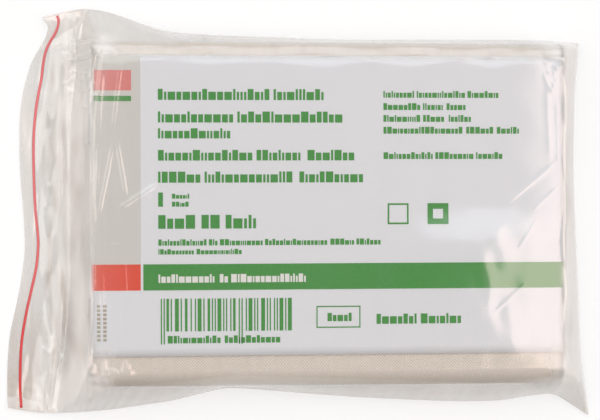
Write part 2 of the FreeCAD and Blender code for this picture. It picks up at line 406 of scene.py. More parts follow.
# How far the red line and the press seal stray from their straight places.
line_stray = curve_through([(-44, -2.7), (-37, -2.9), (-28, -2.5), (-21, -1.3), (-16, -0.2), (-10, 1.0),
                            (-6, 1.3), (2, 0.6), (12, 0.2), (19, 0.3), (26, 1.0), (31, 2.0),
                            (38, 3.4), (41.5, 5.4), (43.7, 5.7), (45.7, 4.8)])
seal_stray = curve_through([(-44, -1.7), (-38, -0.9), (-19, 1.0), (0, 1.3), (15, 1.3), (26, 1.9),
                            (38, 3.4), (46, 4.8)])
# How high the side welds ride where the parcel pulls them in.
near_height = curve_through([(-69, 0.8), (-61, 0.5), (-50, 0.5), (-37, 2.0), (-25, 4.5), (-18, 5.5),
                             (-9, 5.0), (0, 4.2), (13, 3.2), (27, 3.0), (48, 3.2), (58, 3.0),
                             (65, 1.2), (69, 0.3)])
far_height = curve_through([(-61, 2.2), (-55, 1.2), (-48, 0.9), (-38, 3.0), (-30, 4.6), (0, 5.2),
                            (40, 5.0), (56, 4.0), (67, 0.6)])
# X of the ridge where the film stands off the card near the closed end.
swell_ridge = curve_through([(-37, 57.5), (-34, 53), (-31, 48.5), (-28, 44.5), (-24, 41.7), (-17, 40),
                             (-11, 39.8), (-5, 42), (0, 46), (6, 52)])

# Y of the two corners of the mouth and of the closed end, the near one first.
MOUTH_CORNERS = (-43.7, 45.2)
END_CORNERS = (-46.7, 40.0)


def near_edge(x):
    return NEAR_Y + near_inset(x)


def far_edge(x):
    return FAR_Y - far_inset(x)


def seal_line(y):
    return SEAL_X + seal_stray(y)


def end_line(y):
    return END_X - end_inset(y)


# The lines that cross the bag: its mouth, the red line, the press seal, the start and the end of the
# parcel's top, and the closed end.
STATIONS = 6
MOUTH, RED, SEAL, FRONT, BACK, END = range(STATIONS)


def station_lines(across):
    """X of those lines, at shares 0 to 1 of the way from the near side to the far."""
    mouth_y = between(MOUTH_CORNERS, across)
    seal = seal_line(mouth_y)
    clear_of_seal = seal + 1.3
    return np.array([
        MOUTH_X + mouth_inset(mouth_y),
        LINE_X + line_stray(mouth_y),
        seal,
        np.maximum(card_low[0] + 0.4, clear_of_seal),
        np.full(across.shape, card_high[0] - 1.0),
        end_line(between(END_CORNERS, across)),
    ])


def bag_plan(stations, across):
    """X and Y of a grid on the bag: stations runs from the mouth to the closed end."""
    lines = station_lines(across)
    low = np.clip(np.floor(stations).astype(int), 0, STATIONS - 2)
    share = (stations - low)[:, None]
    x = lines[low] * (1 - share) + lines[low + 1] * share
    y = near_edge(x) + (far_edge(x) - near_edge(x)) * across[None, :]
    return x, y


# ---------------- heights

def sink(x, y):
    """How far the top of the parcel sags towards its sides."""
    near = 0.8 * ramp(-y, 34.4, 40.0)
    far = 0.9 * ramp(y, 36.4, 41.0)
    closed_end = 0.6 * (np.clip(x - 47.0, 0, 14.0) / 13.0) ** 2
    mouth_end = 0.25 * ramp(-x, 45.0, 54.0)
    return near + far + closed_end + mouth_end


def card_top(x, y):
    """Height of the card's face."""
    return card_high[2] - CARD_FOLLOWS * sink(x, y) - CARD_BOW + CARD_BOW * ripple(x, y, 60, 3)


def parcel_top(x, y):
    """Height of cloth and card together, 0 beyond the parcel."""
    round_near = np.clip((near_side + NEAR_FOLD - y) / NEAR_FOLD, 0, 1)
    round_far = np.clip((y - far_side + FAR_FOLD) / FAR_FOLD, 0, 1)
    # both long sides round off downwards, the far one less far
    near_fall = CLOTH_THICKNESS / 2 * (1 - np.sqrt(1 - round_near**2))
    far_fall = 0.6 * CLOTH_THICKNESS / 2 * (1 - np.sqrt(1 - round_far**2))
    cloth = cloth_high[2] - sink(x, y) - near_fall - far_fall
    in_parcel = (x > mouth_side) & (x < end_side) & (y > near_side) & (y < far_side)
    # the card counts a little beyond its rim, so that the film clears its edges
    rim = 0.3
    over_card = (x > card_low[0] - rim) & (x < card_high[0] + rim)
    over_card = over_card & (y > card_low[1]) & (y < card_high[1] + rim)
    return np.where(over_card, card_top(x, y), np.where(in_parcel, cloth, 0))


def crease(x, y, start, stop, height, width):
    """A fold pressed up in the film: a narrow ridge that fades out at both ends."""
    (x0, y0), (x1, y1) = start, stop
    length = math.hypot(x1 - x0, y1 - y0)
    share = ((x - x0) * (x1 - x0) + (y - y0) * (y1 - y0)) / length**2
    side = ((x - x0) * (y1 - y0) - (y - y0) * (x1 - x0)) / length
    fade = ramp(share, -0.02, 0.25) * ramp(1 - share, -0.02, 0.25)
    return height * fade * np.exp(-np.abs(side / width) ** 1.5)


def crumple(x, y, middle, reach, count, steepness, seed):
    """A patch of short random creases round a point, thinning out towards its rim."""
    dice = np.random.RandomState(seed)
    total = np.zeros(x.shape)
    for _ in range(count):
        turn = dice.uniform(0, 2 * math.pi)
        out = dice.uniform(0, 1) ** 0.7
        place = np.array(middle) + out * np.array(reach) * (math.cos(turn), math.sin(turn))
        lean = dice.uniform(0, math.pi)
        half = dice.uniform(0.8, 2.8) * np.array((math.cos(lean), math.sin(lean)))
        width = dice.uniform(0.3, 0.8)
        height = steepness * dice.uniform(0.4, 1.2) * width
        total += crease(x, y, place - half, place + half, height, width)
    return total


# Folds that stand up in the front film: (start, stop, half width, height over half width).
# Film that leans towards the mouth needs steeper ones to catch the light.
CREASES = [
    ((43.8, 1.9), (57.9, 13.0), 0.40, 0.17),
    ((51.1, 1.2), (57.9, 6.9), 0.35, 0.17),
    ((47.0, -8.5), (52.6, -0.2), 0.30, 0.14),
    ((53.5, -10.2), (58.6, -4.5), 0.35, 0.14),
    ((41.0, -22.8), (50.0, -15.0), 0.35, 0.14),
    ((-48.2, 0.4), (-36.6, 7.7), 0.58, 0.26),
    ((-51.0, 19.0), (-51.9, -4.0), 0.45, 0.32),
    ((-47.4, 18.0), (-51.7, -3.0), 0.45, 0.31),
    ((-47.2, 18.5), (-44.5, 2.5), 0.45, 0.30),
    ((-45.8, 36.0), (-48.2, 17.0), 0.45, 0.24),
    ((-50.4, 34.0), (-51.2, 16.0), 0.50, 0.24),
    ((-53.2, 44.0), (-53.8, 24.0), 0.60, 0.25),
    ((-48.6, 38.6), (-45.8, 36.2), 0.70, 0.25),
    ((-52.2, 36.5), (-53.8, 30.0), 0.70, 0.35),
    ((-59.6, 20.0), (-59.1, 10.0), 1.00, 0.27),
    ((-59.4, 8.0), (-60.0, 1.0), 0.90, 0.27),
    ((-61.0, 2.0), (-60.2, -6.0), 0.80, 0.27),
    ((-58.6, -3.0), (-59.2, -14.0), 0.90, 0.27),
    ((-58.2, 30.0), (-58.0, 21.0), 0.80, 0.27),
    ((-60.6, -18.0), (-58.4, -31.0), 0.60, 0.35),
    ((-58.6, -29.0), (-60.9, -41.0), 0.60, 0.30),
    ((-54.8, -20.0), (-53.6, -37.0), 0.70, 0.40),
    ((-49.5, -7.0), (-45.5, -6.6), 0.40, 0.22),
    ((-50.5, -10.5), (-50.2, -24.0), 0.70, 0.17),
    ((-45.4, -9.0), (-44.8, -19.0), 0.50, 0.16),
    ((54.6, 31.0), (55.4, 12.0), 0.80, 0.05),
    ((57.0, 28.0), (57.6, 8.0), 0.60, 0.05),
]

# Crumpled places in it: (middle, reach each way, number of creases, height over half width, seed).
CRUMPLES = [
    ((56.5, 33.5), (3.5, 4.5), 12, 0.10, 11),
    ((-48.0, -37.5), (6.5, 4.0), 34, 0.34, 12),
    ((61.5, -38.5), (4.0, 4.5), 20, 0.35, 13),
    ((-52.8, 37.2), (4.0, 2.8), 18, 0.35, 16),
    ((-57.5, -33.0), (4.5, 7.0), 16, 0.28, 15),
    ((-53.8, 31.0), (1.8, 6.0), 14, 0.30, 17),
]


def front_folds(x, y, from_seal):
    """Everything that keeps the front film from lying smooth."""
    total = np.zeros(x.shape)
    for start, stop, width, slope in CREASES:
        total += crease(x, y, start, stop, slope * width, width)
    for patch in CRUMPLES:
        total += crumple(x, y, *patch)
    # long pleats beside the seal, along the mouth
    beside = ramp(from_seal, -9.0, -6.5) * ramp(-from_seal, -5.5, -3.0)
    total += beside * (0.22 * ripple(x, y, 4.2, 51, stretch=7) + 0.06 * ripple(x, y, 2.4, 52, stretch=5))
    total += 0.02 * ripple(x, y, 11, 5)
    # uneven where it stands off the card, in ripples that run aslant
    across, along = x + 0.5 * y, y - 0.5 * x
    broad = 0.05 * ripple(across, along, 14, 33, stretch=1.6)
    small = 0.045 * ripple(across, along, 5, 32, stretch=2.0)
    total += end_swell(x, y) * (broad + small)
    # slack film is wavy
    total += 0.3 * milkiness(x, y) * ripple(x, y, 7, 8, stretch=3)
    return total


def lip_rise(y, from_seal):
    """How high the rear lip stands off the table, outwards from the seal."""
    out = np.clip(-from_seal / 10, 0, 1.2)
    return out * (0.2 + 0.22 * np.sin(y / 11.0 + 0.6) + 0.06 * np.sin(y / 4.5 + 2.0))


def lip_gap(from_seal):
    """How far the front lip lies over the rear one: widest at the seal, nearly shut beyond the red line."""
    return 0.22 + 0.95 * np.clip(1 + from_seal / 6.0, 0, 1)


def edge_height(x, y):
    """Height of the welded edges, carried across the bag."""
    share = np.clip((y - near_edge(x)) / (far_edge(x) - near_edge(x)), 0, 1)
    return near_height(x) * (1 - share) + far_height(x) * share


def swell_share(y):
    """1 in the near part of the bag, where the film stands off the card, and 0 in its far part."""
    return ramp(-y, -5.0, 7.0)


def end_swell(x, y):
    """Near the closed end the film stands off the card along a soft ridge, and slopes down beyond it."""
    ridge = swell_ridge(y)
    slope = 0.058
    top = slope * (59.5 - ridge)
    beyond = top - slope * (x - ridge)
    before = top * ramp(x, 5.0, ridge + 3.0)
    lower_of_both = -either_top(-beyond, -before, 0.1)
    return np.clip(lower_of_both, 0, None) * swell_share(y)


def milkiness(x, y):
    """Share of the light that the film scatters: little where it lies tight on the card, more towards
    the mouth, and most where it hangs slack round the parcel."""
    from_seal = x - seal_line(y)
    # 1 over the parcel and 0 beyond it, apart from its far side
    over = ramp(x, mouth_side - 1.5, mouth_side + 3.0) * ramp(-x, 0.4 - end_side, 2.2 - end_side)
    over = over * ramp(y, near_side - 1.3, near_side + 2.0)
    slacker_at_mouth = ramp(-x, 40.0, 56.0) * (0.25 + 0.35 * ramp(y, -10.0, 20.0))
    slack = 1 - over * (1 - slacker_at_mouth)
    # how much milkier than plain slack film each stretch of it is
    beside_seal = ramp(from_seal, -6.0, -0.5) * ramp(-x, 51.0, 54.0) * (1 - 0.25 * ramp(y, 33.0, 38.0))
    near_strip = 0.25 * ramp(-y, 37.0, 40.0) * ramp(x, -56.0, -50.0)
    closed_end = 0.9 * ramp(x, 58.0, 59.8) * (1 - 0.35 * ramp(-y, 36.0, 40.0))
    far_strip = (0.6 + 0.15 * ramp(-x, 49.5, 51.5) * ramp(x, -60.0, -57.0)) * ramp(y, 36.5, 39.0)
    most = np.maximum(np.maximum(beside_seal, near_strip), np.maximum(closed_end, far_strip))
    streaks = 1 + 0.25 * ripple(x, y, 2.6, 41, stretch=12) * ramp(-x, 36.0, 50.0)
    streaks += 0.35 * ripple(x, y, 3.4, 42, stretch=7) * ramp(-x, 50.0, 56.0) * ramp(-y, -40.0, -20.0)
    slack_milk = slack * (0.31 + 0.59 * most) * streaks
    # over the parcel: along the far fold of the cloth, and at the corners
    far_fold = 0.36 + 0.34 * ramp(-x, 45.0, 50.0) * ramp(-y, -42.0, -39.5)
    far_fold = far_fold * over * ramp(y, 35.0, 36.8)
    near_corners = 0.35 * ramp(-y, 28.0, 33.0) * (ramp(-x, 44.0, 50.0) + ramp(x, 53.0, 58.0))
    near_corners += 0.3 * ramp(-y, 34.5, 37.5) * ramp(-x, 46.5, 51.5) * (1 + 0.5 * ripple(x, y, 2.2, 45))
    end_corners = 0.5 * ramp(x, 47.0, 57.0) * np.maximum(ramp(-y, 36.0, 38.5), 0.8 * ramp(y, 35.0, 38.0))
    parcel_milk = far_fold + np.maximum(near_corners, end_corners)
    swollen = 0.1 * ramp(x - swell_ridge(y), -2.0, 2.0) * swell_share(y)
    clearest = 0.025
    return clearest + swollen + np.maximum(slack_milk, parcel_milk)


def painted_pleat_shade(x, y):
    """Painted shade: the share by which the haze is darker and warmer, in the hollows of the pleats at the
    mouth where the two films lie on each other, and on the lip at its near corner."""
    from_seal = x - seal_line(y)
    hollows = 0.42 * ripple(x, y, 2.5, 43, stretch=11) + 0.25 * ripple(x, y, 1.6, 44, stretch=7)
    painted_shade_band = ramp(-x, 50.0, 52.5) * ramp(from_seal, -6.5, -4.5) * ramp(-y, -40.0, -30.0)
    painted_shade_band = painted_shade_band * (1 - 0.5 * ramp(from_seal, 0.5, 2.5))
    lip = 0.5 * ramp(-from_seal, 4.0, 6.0) * ramp(-y, 12.0, 30.0)
    return np.maximum(np.clip(hollows, 0, 1) * painted_shade_band, lip)


def tight_film(x, y):
    """Height of the front film where it is stretched over the card."""
    # near the card's far edge it turns over and leans down to the fold of the cloth
    past_turn = np.clip(y - (card_high[1] - 2.5) - 0.7 * ripple(x, y, 17, 61), 0, None)
    level = card_top(x, y) + FILM_LIFT
    return level + end_swell(x, y) + 0.2 * ramp(y, 26.0, 33.5) - 0.042 * past_turn**2


def film_foot(x, y, from_seal):
    """Height from which the front film climbs to the parcel: the welds, or the lip at the mouth."""
    welds = edge_height(x, y) * ramp(np.abs(y), 20.0, 44.0) + 0.3
    lips = 0.08 + lip_rise(y, from_seal) + lip_gap(from_seal)
    return np.where(from_seal < 2.0, np.maximum(welds * ramp(np.abs(y), 38.0, 45.0), lips), welds)


def front_height(x, y):
    """Height of the front film, from the lip over the parcel to the closed end."""
    from_near, from_far = y - near_edge(x), far_edge(x) - y
    from_seal, from_end = x - seal_line(y), end_line(y) - x
    near_gap = near_side - near_edge(x)
    far_gap = far_edge(x) - far_side
    # the farther a weld lies from the parcel, the longer the climb
    climb = rise(from_near, 4.2 + 1.1 * np.clip(near_gap, 0, 6), 2.8)
    climb = climb * rise(from_far, 1.6 + 1.1 * np.clip(far_gap, 0, 8), 2.6)
    climb = climb * rise(from_seal - 0.8, 2.6, 1.7) * rise(from_end, end_line(y) - 59.0, 2.2)
    foot = film_foot(x, y, from_seal)
    height = foot + (tight_film(x, y) - foot) * climb
    height = either_top(height, parcel_top(x, y) + 0.1, 0.15)
    fade = ramp(np.minimum(from_near, from_far), 0.0, 3.0) * ramp(from_end, 0.5, 3.0)
    height += front_folds(x, y, from_seal) * fade
    height = either_top(height, parcel_top(x, y) + 0.12, 0.03)
    return np.maximum(height, rear_height(x, y) + 0.06)


def rear_height(x, y):
    """Height of the rear film: flat under the parcel, up at the welds, and waved at the lip."""
    near_climb = (1 - np.clip((y - near_edge(x)) / 4.6, 0, 1)) ** 2.6
    far_climb = (1 - np.clip((far_edge(x) - y) / 2.6, 0, 1)) ** 2.6
    welds = np.maximum(near_height(x) * near_climb, far_height(x) * far_climb)
    return 0.08 + np.maximum(welds, lip_rise(y, x - seal_line(y)))


# ---------------- the bag

def mouth_share(x, y):
    """How much a point would follow the opening lip: not at all at the side welds and over the parcel,
    but nearly all close beside the welds."""
    along = ramp(-x, -(HINGE_X + 1.2), -(SEAL_X - 0.5))
    from_near, from_far = y - near_edge(x), far_edge(x) - y
    middle = np.sin(math.pi * np.clip(from_near / (from_near + from_far), 0, 1))
    return along * rise(np.minimum(from_near, from_far), 8.0, 1.6) * (0.9 + 0.1 * middle)


def hinge_to_lip(made):
    """Bakes the piece's place into its points, and works out how far each point follows the opening lip;
    nothing uses that share.
    """
    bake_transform(made)
    place = np.array([v.co for v in made.data.vertices]) / MM
    share = mouth_share(place[:, 0], place[:, 1])


def make_front_film():
    """The front panel, over the card and out to the lip. Its grid is finest where it has most folds."""
    mouth_part, end_part = FRONT + 0.17, FRONT + 0.82
    stations = spread((MOUTH, RED, 14), (RED, SEAL, 30), (SEAL, FRONT, 24), (FRONT, mouth_part, 72),
                      (mouth_part, end_part, 60), (end_part, BACK, 80), (BACK, END, 30))
    across = spread((0, 0.1, 30), (0.1, 0.94, 230), (0.94, 1, 20))
    x, y = bag_plan(stations, across)
    made = sheet_piece("front_panel_film", x, y, front_height(x, y), FILM)
    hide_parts("front_film", "front_mouth_film")
    hinge_to_lip(made)


def make_rear_film():
    """The rear panel, which lies under the cloth."""
    stations = spread((MOUTH, RED, 8), (RED, SEAL, 14), (SEAL, FRONT, 6), (FRONT, BACK, 80), (BACK, END, 14))
    across = spread((0, 0.08, 16), (0.08, 0.94, 70), (0.94, 1, 12))
    x, y = bag_plan(stations, across)
    made = sheet_piece("rear_panel_film", x, y, rear_height(x, y), FILM)
    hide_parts("rear_film")
    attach(made, "bag")


def make_weld(name, node, path, profile):
    """A melted seam: a low open ribbon with sloping flanks."""
    made = bead_piece(name, path, profile, WELD, closed=False)
    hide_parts(node)
    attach(made, "bag")


def make_welds():
    """The side welds are narrow melted ribbons. The closed end has a flat band pressed across it."""
    for name, node, edge, height, inwards, start, stop in (
        ("near_side_weld", "side_weld_near", near_edge, near_height, 1, -68.9, 69.0),
        ("far_side_weld", "side_weld_far", far_edge, far_height, -1, -61.0, 66.6),
    ):
        x = np.linspace(start, stop, 160)
        path = np.stack([x, edge(x) + 0.16 * inwards, height(x) + 0.36], -1)
        make_weld(name, node, path, both_sides([(0.14, 0.14), (0.24, 0.0)]))
    across = np.linspace(0.0, 1.0, 90)
    weld_station = END - 0.14
    x, y = bag_plan(np.array([weld_station]), across)
    height = 0.28 + edge_height(x[0], y[0]) * ramp(np.abs(y[0]), 20.0, 44.0)
    path = np.stack([x[0], y[0], height], -1)
    make_weld("closed_end_weld", "end_weld", path, both_sides([(0.6, 0.14), (0.75, 0.02)]))


def line_path(station, height):
    """A path across the bag at a station, lying at height(x, y). It stops just inside the side welds."""
    margin = 0.006
    x, y = bag_plan(np.array([float(station)]), np.linspace(margin, 1 - margin, 140))
    return np.stack([x[0], y[0], height(x[0], y[0])], -1)


def both_sides(half):
    """A whole profile from its half on the + side: the same points mirrored come first."""
    return [(-across, up) for across, up in half[::-1]] + half


def make_seal_rib():
    """The rib of the press seal, under the front film."""
    rib = both_sides([(0.15, -0.75), (0.35, -0.1), (1.2, -0.08), (1.4, -0.02)])
    tip = (0.0, -0.85)
    rib.insert(len(rib) // 2, tip)
    path = line_path(SEAL, lambda x, y: front_height(x, y) - 0.02)
    made = bead_piece("press_seal_rib", path, rib, RAIL, closed=False)
    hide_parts("seal_rib")
    hinge_to_lip(made)


def make_seal_groove():
    """The groove of the press seal, on the rear film: two lips that the rib snaps between."""
    groove = both_sides([(0.35, 0.1), (0.45, 0.65), (0.62, 0.72), (0.8, 0.65), (0.95, 0.1), (1.2, 0.08),
                         (1.4, 0.02)])
    path = line_path(SEAL, lambda x, y: rear_height(x, y) + 0.02)
    made = bead_piece("press_seal_groove", path, groove, RAIL, closed=False)
    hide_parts("seal_groove")
    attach(made, "bag")


def make_red_line():
    """The red line along the lip, which shows where to pull the mouth open."""
    line = both_sides([(0.2, 0.12), (0.32, 0.02)])
    made = bead_piece("red_opening_line", line_path(RED, front_height), line, RED_LINE, closed=True)
    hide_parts("opening_line")
    hinge_to_lip(made)


# ---------------- the folded cloth

# Stack of the strips, bottom to top, and of the columns in a strip that lies face up.
# A negative column is left of the middle of the long side.
STRIP_STACK = [0, 7, 8, 4, 3, 2, 5, 6, 1]
COLUMN_STACK = [-2, 1, 4, -5, -6, 5, 0, -1, -4, 3, 2, -3]
# How much cloth each turn takes up: more where it has more layers to go round.
COLUMN_CREASE = 4.0
STRIP_CREASE = {1: 16.0, 2: 8.0, 3: 4.0, 4: 4.0, 5: 7.0, 6: 2.5, 7: 8.0, 8: 2.0}

# How far a turn of full height stands out at the sides, and how far in from them the turns begin.
NEAR_BULGE, FAR_BULGE = 3.55, 1.4
MOUTH_TURN, END_TURN, FAR_TURN = 1.9, 2.2, 1.2


def bulge(step, reach):
    """How far a turn stands out when its two layers are step apart; reach is for the full height."""
    return reach * (np.abs(step) / CLOTH_THICKNESS) ** 0.62


def fold_places(flat, pitch, first, last, crease_width):
    """Splits flat places into layers: the one before, the one after, how far round the turn between them
    (0 to 1), and the share of the way across the parcel."""
    nearest = np.clip(np.rint(flat / pitch), first + 1, last - 1).astype(int)
    width = crease_width(nearest)
    turn = (flat - nearest * pitch) / width + 0.5
    in_crease = (turn > 0) & (turn < 1)
    layer = np.where(in_crease, nearest - 1, np.clip(np.floor(flat / pitch), first, last - 1)).astype(int)
    after = np.where(in_crease, nearest, layer)
    start = layer * pitch + np.where(layer == first, 0, crease_width(layer) / 2)
    stop = (layer + 1) * pitch - np.where(layer + 1 == last, 0, crease_width(layer + 1) / 2)
    share = np.clip((flat - start) / (stop - start), 0, 1)
    # layers run back and forth, so every other one is crossed the other way
    share = np.where(layer % 2 == 0, 1 - share, share)
    return layer, after, np.where(in_crease, turn, 0.0), share


def column_crease(line):
    return np.full(np.shape(line), COLUMN_CREASE)


def strip_crease(line):
    """The two outer lines are the edges of the cloth, which aren't folded."""
    widths = np.array([STRIP_CREASE.get(k, 0.0) for k in range(STRIPS + 1)])
    return widths[line]


def stack_levels(share_x, share_y):
    """For every point of the parcel's plan, the share of the full height at which each layer lies.
    A layer counts only where the triangle reaches, so the parcel stays level. Soft is the width over
    which a layer thins out at the triangle's edge."""
    order = []
    for strip in STRIP_STACK:
        columns = COLUMN_STACK if strip % 2 == 0 else COLUMN_STACK[::-1]
        order += [(column, strip) for column in columns]
    soft = 10.0
    present = np.zeros((len(order), len(share_x)))
    for k, (column, strip) in enumerate(order):
        along = column * COLUMN + COLUMN * (1 - share_x if column % 2 == 0 else share_x)
        up = strip * STRIP + STRIP * (1 - share_y if strip % 2 == 0 else share_y)
        present[k] = np.clip((HEIGHT - np.abs(along) - up) / soft + 0.5, 0.0, 1.0)
    below = np.cumsum(present, axis=0) - present / 2
    level = below / present.sum(axis=0)
    index = np.zeros((COLUMNS, STRIPS), int)
    for k, (column, strip) in enumerate(order):
        index[column + COLUMNS // 2, strip] = k
    return level, index


def fold(flat_x, flat_y):
    """Where a point of the flat triangle lies in the folded parcel."""
    col_a, col_b, turn_x, share_x = fold_places(flat_x, COLUMN, -COLUMNS // 2, COLUMNS // 2, column_crease)
    row_a, row_b, turn_y, share_y = fold_places(flat_y, STRIP, 0, STRIPS, strip_crease)
    level, index = stack_levels(share_x, share_y)
    points = np.arange(len(flat_x))

    def height(column, row):
        return level[index[column + COLUMNS // 2, row], points]

    # levels of the four layers that can meet at a point: a is before the turn and b after it, first for
    # the column and then for the strip
    aa, ba, ab, bb = height(col_a, row_a), height(col_b, row_a), height(col_a, row_b), height(col_b, row_b)
    over_x = (1 - np.cos(math.pi * turn_x)) / 2
    over_y = (1 - np.cos(math.pi * turn_y)) / 2
    # share 0 is the mouth side or the near side
    x = between((mouth_side + MOUTH_TURN, end_side - END_TURN), share_x)
    y = between((near_side + NEAR_FOLD, far_side - FAR_TURN), share_y)
    thick = CLOTH_THICKNESS - sink(x, y)
    step_x = (between((ba, bb), over_y) - between((aa, ab), over_y)) * thick
    step_y = (between((ab, bb), over_x) - between((aa, ba), over_x)) * thick
    out_x = np.where(share_x < 0.5, -1, 1) * bulge(step_x, NEAR_FOLD)
    out_y = np.where(share_y < 0.5, -bulge(step_y, NEAR_BULGE), bulge(step_y, FAR_BULGE))
    x = x + out_x * np.sin(math.pi * turn_x)
    y = y + out_y * np.sin(math.pi * turn_y)
    z = between((between((aa, ba), over_x), between((ab, bb), over_x)), over_y)
    return np.stack([x, y, cloth_low[2] + z * thick], -1)


def cloth_lines(first, last, turns, flat_steps, last_steps):
    """Grid lines along one side of the flat cloth, closer in its turns. Each turn is (middle, half its
    width, steps across it)."""
    runs, start = [], first
    for middle, half, steps in turns:
        runs += [(start, middle - half, flat_steps), (middle - half, middle + half, steps)]
        start = middle + half
    return spread(*runs, (start, last, last_steps))


def make_cloth():
    """One triangle of cotton, folded back and forth both ways into the parcel."""
    columns = cloth_lines(-HEIGHT, HEIGHT, [(k * COLUMN, COLUMN_CREASE / 2, 8)
                                            for k in range(-COLUMNS // 2 + 1, COLUMNS // 2)], 24, 24)
    # the turn of the first strip shows most, so it is the finest
    rows = cloth_lines(0.0, HEIGHT, [(k * STRIP, STRIP_CREASE[k] / 2, 14 if k == 1 else 8)
                                     for k in range(1, STRIPS)], 18, 12)
    x, y = np.meshgrid(columns, rows, indexing="ij")
    cloth = bmesh.new()
    made = piece("flat_cloth", np.stack([x, y, x * 0], -1).reshape(-1, 3), grid_faces(*x.shape), COTTON)
    cloth.from_mesh(made.data)
    bpy.data.objects.remove(made)
    # cut the two short sides of the triangle
    for side in (1, -1):
        everything = cloth.verts[:] + cloth.edges[:] + cloth.faces[:]
        bmesh.ops.bisect_plane(cloth, geom=everything, dist=1e-6, clear_outer=True,
                               plane_co=(side * HEIGHT * MM, 0, 0), plane_no=(side, 1, 0))
    cloth.verts.ensure_lookup_table()
    flat = np.array([v.co for v in cloth.verts])[:, :2] / MM
    faces = [[v.index for v in f.verts] for f in cloth.faces]
    cloth.free()
    points = fold(flat[:, 0], flat[:, 1])
    # the top layers aren't quite smooth
    points[:, 2] += 0.03 * ripple(flat[:, 0], flat[:, 1], 9, 21) * ramp(points[:, 2], 13.0, 13.8)
    made = piece("folded_cloth", points, faces, COTTON, flat)
    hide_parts("sling_cloth")
    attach(made, "sling")


# ---------------- the card and its print

# How far the card lies turned in the bag, and how far each layer of ink is drawn above it.
CARD_TURN = math.radians(0.2)
INK = 0.03


def on_card(across, up, lift=0.0):
    """A place on the card: millimetres from its left edge and from its near edge."""
    x = card_low[0] + across * math.cos(CARD_TURN) - (up - CARD_WIDTH / 2) * math.sin(CARD_TURN)
    y = card_low[1] + up * math.cos(CARD_TURN) + (across - CARD_LENGTH / 2) * math.sin(CARD_TURN)
    return np.stack([x, y, card_top(x, y) + lift], -1)


def make_card():
    """White coated card, slightly bowed over the cloth."""
    thick = card_high[2] - card_low[2] - CARD_BOW
    across, up = np.meshgrid(np.linspace(0, CARD_LENGTH, 57), np.linspace(0, CARD_WIDTH, 35), indexing="ij")
    top = on_card(across, up)
    made = piece("printed_card", top.reshape(-1, 3), grid_faces(*across.shape), CARD_STOCK,
                 np.stack([across, up], -1).reshape(-1, 2))
    solid = bmesh.new()
    solid.from_mesh(made.data)
    bmesh.ops.solidify(solid, geom=solid.faces[:], thickness=thick * MM)
    solid.to_mesh(made.data)
    solid.free()
    made.data.update()
    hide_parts("insert_card")
    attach(made, "card")


class Print:
    """One ink on the card: flat shapes gathered into one piece."""

    def __init__(self, name, ink, lift):
        self.name, self.ink, self.lift = name, ink, lift
        self.points, self.faces = [], []

    def outline(self, places):
        """One flat shape with that outline."""
        start = len(self.points)
        self.points.extend(places)
        self.faces.append(list(range(start, start + len(places))))

    def block(self, left, low, width, height):
        """A rectangle, in pieces of up to 2 mm, short enough to follow the card's bow."""
        parts = math.ceil(width / 2)
        rows = math.ceil(height / 2)
        for i in range(parts):
            for j in range(rows):
                x0, x1 = left + width * i / parts, left + width * (i + 1) / parts
                y0, y1 = low + height * j / rows, low + height * (j + 1) / rows
                self.outline([(x0, y0), (x1, y0), (x1, y1), (x0, y1)])

    def frame(self, left, low, width, height, line):
        """The outline of a box."""
        self.block(left, low, width, line)
        self.block(left, low + height - line, width, line)
        self.block(left, low + line, line, height - 2 * line)
        self.block(left + width - line, low + line, line, height - 2 * line)

    def words(self, left, low, height, lengths, seed):
        """A row of plain upright bars that stands for a line of words: a tall bar first, then low ones
        with a taller one now and then."""
        dice = np.random.RandomState(seed)
        for length in lengths:
            stop = left + length
            tall = True
            while left < stop - height * 0.2:
                width = min(height * dice.choice([0.22, 0.45, 0.55, 0.7]), stop - left)
                self.block(left, low, width, height * (1.0 if tall else 0.74))
                left += width + height * 0.12
                tall = dice.uniform() < 0.25
            left = stop + height * 0.4

    def place(self):
        """Makes the piece on the card."""
        plan = np.array(self.points, float)
        points = on_card(plan[:, 0], plan[:, 1], self.lift)
        made = piece(self.name, points, self.faces, self.ink, plan)
        welded = bmesh.new()
        welded.from_mesh(made.data)
        bmesh.ops.remove_doubles(welded, verts=welded.verts[:], dist=1e-6)
        welded.to_mesh(made.data)
        welded.free()
        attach(made, "card")


# The coloured band along the card, from its near edge, and the column down its mouth end.
BAND_LOW, BAND_HIGH = 14.9, 20.8
COLUMN_WIDTH = 11.4
RIM = 0.05
TEXT_LEFT, SECOND_LEFT = 15.5, 68.4


def print_blocks():
    """Plain blocks: the grey-green column above the band, the band's red start, and a block over a bar
    near the card's far corner at the mouth."""
    for name, ink, lift, block in (
        ("tint_column", TINT_INK, INK, (RIM, BAND_HIGH, COLUMN_WIDTH, CARD_WIDTH - BAND_HIGH - RIM)),
        ("red_block", RED_INK, INK, (RIM, BAND_LOW, COLUMN_WIDTH - RIM, BAND_HIGH - BAND_LOW)),
        ("pale_red_mark", PINK_INK, INK * 2, (0.7, 60.0, 8.6, 4.6)),
        ("green_bar", GREEN_INK, INK * 2, (0.7, 57.6, 8.6, 1.2)),
    ):
        shape = Print(name, ink, lift)
        shape.block(*block)
        shape.place()


def print_stripes(green):
    """The retail block: bars of made-up widths, each a few modules wide, with longer guard bars."""
    dice = np.random.RandomState(7)
    module = 0.33
    guards = (0, 1, 19, 20, 38, 39)
    left, right, top = 16.0, 46.8, 13.0
    for k in range(40):
        width = module * dice.choice([1, 1, 2, 3]) if k not in guards else module
        low = 2.7 if k in guards else 5.6
        green.block(left, low, width * 0.92, top - low)
        left += width + module * dice.choice([1, 1, 2])
        if left > right:
            break


